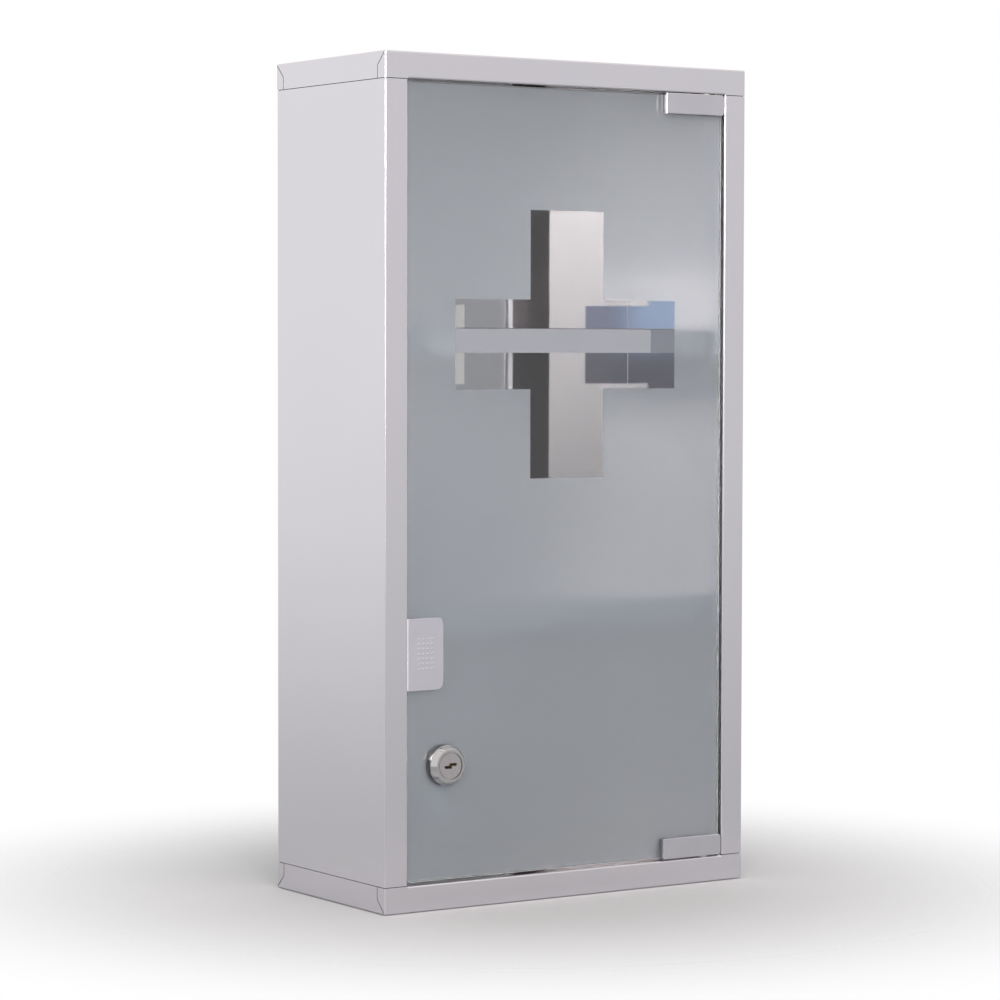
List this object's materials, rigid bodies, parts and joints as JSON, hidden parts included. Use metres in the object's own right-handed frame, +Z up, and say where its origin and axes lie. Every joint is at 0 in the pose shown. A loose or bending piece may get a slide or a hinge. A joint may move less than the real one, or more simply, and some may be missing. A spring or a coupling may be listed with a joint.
{
  "type": "wall medicine cabinet",
  "caption": "Wall cabinet of folded stainless sheet with fixed shelves and a frosted glass pivot door that has a clear cross, a push plate with magnetic latch, and a cam lock.",
  "frame": {"origin": "under the middle of the whole cabinet, on the plane of its underside", "axes": "+Z up, -Y out of the door, +X to the hinge side, which is the right as one faces the door"},
  "size_m": [0.25, 0.123, 0.48],
  "materials": {
    "stainless": "satin outside, bright inside",
    "glass": "clear, polished",
    "frosting": "frosted, translucent",
    "plated": "satin plated zinc",
    "lock_chrome": "bright",
    "fastener": "zinc plated",
    "pad": "matt",
    "bush_plastic": "moulded",
    "latch_plastic": "moulded",
    "magnet": "sintered",
    "wafer_brass": "stamped"
  },
  "bodies": {
    "cabinet": {"top_cap": "stainless", "bottom_cap": "stainless", "left_side_panel": "stainless", "right_side_panel": "stainless", "back_panel": "stainless", "upper_shelf": "stainless", "lower_shelf": "stainless", "upper_pivot_bush": "bush_plastic", "lower_pivot_bush": "bush_plastic", "latch_bracket": "stainless", "latch_housing": "latch_plastic", "latch_screws": "fastener", "latch_spring": "fastener"},
    "door": {"door_glass": "glass", "frosted_film": "frosting", "upper_hinge_clip": "plated", "lower_hinge_clip": "plated", "upper_hinge_pads": "pad", "lower_hinge_pads": "pad", "hinge_clamp_screws": "fastener", "push_plate": "stainless", "push_plate_tape": "pad", "lock_barrel": "lock_chrome", "lock_gasket": "pad", "lock_washer": "fastener", "lock_nut": "lock_chrome"},
    "lock_core": {"lock_plug": "lock_chrome", "lock_wafers": "wafer_brass", "lock_cam": "fastener", "cam_screw": "fastener"},
    "latch_slide": {"latch_plunger": "latch_plastic", "latch_magnet": "magnet"}
  },
  "joints": [
    {"name": "door_hinge", "type": "hinge", "parent": "cabinet", "child": "door", "pos_m": [0.0978, -0.0543, 0.24], "axis": [0, 0, 1], "range_deg": [0, 110]},
    {"name": "lock_turn", "type": "hinge", "parent": "door", "child": "lock_core", "pos_m": [-0.0832, -0.0513, 0.0813], "axis": [0, 1, 0], "range_deg": [0, 90]},
    {"name": "latch_press", "type": "slide", "parent": "cabinet", "child": "latch_slide", "axis": [0, 1, 0], "range_m": [0, 0.003], "stiffness_N_per_m": 500, "deforming": ["latch_spring"]}
  ]
}
